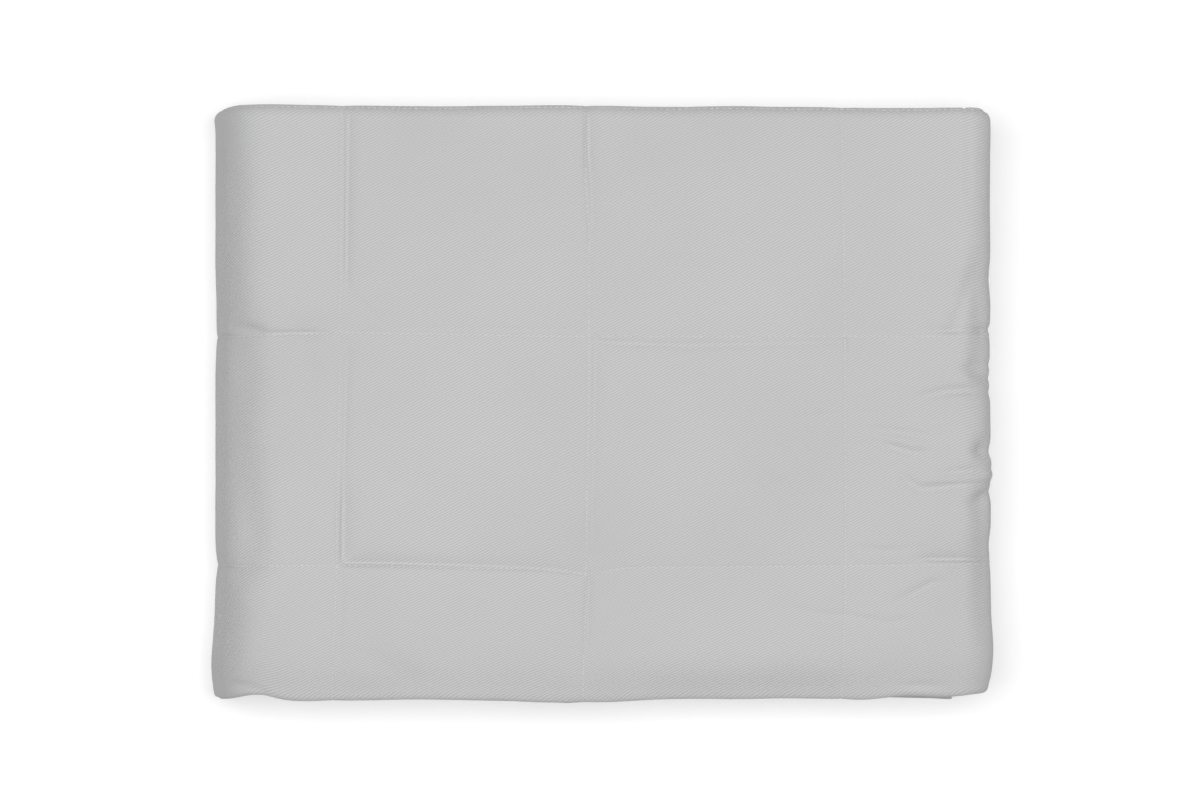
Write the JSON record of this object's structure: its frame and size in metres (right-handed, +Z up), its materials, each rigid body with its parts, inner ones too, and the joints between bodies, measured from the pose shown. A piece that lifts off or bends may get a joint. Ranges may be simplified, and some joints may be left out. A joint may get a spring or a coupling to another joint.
{
  "type": "weighted blanket",
  "caption": "Quilted weighted blanket of grey cotton, folded in half twice each way into a flat rectangular pack.",
  "frame": {"origin": "under the middle of the pack, on the surface that it lies on", "axes": "+X to the right along the pack's length, +Y to the back fold, +Z up"},
  "size_m": [0.477, 0.3644, 0.0809],
  "materials": {
    "cloth": "matt cotton twill",
    "thread": "matt sewing thread"
  },
  "bodies": {
    "root": {"blanket": "cloth"}
  },
  "joints": []
}
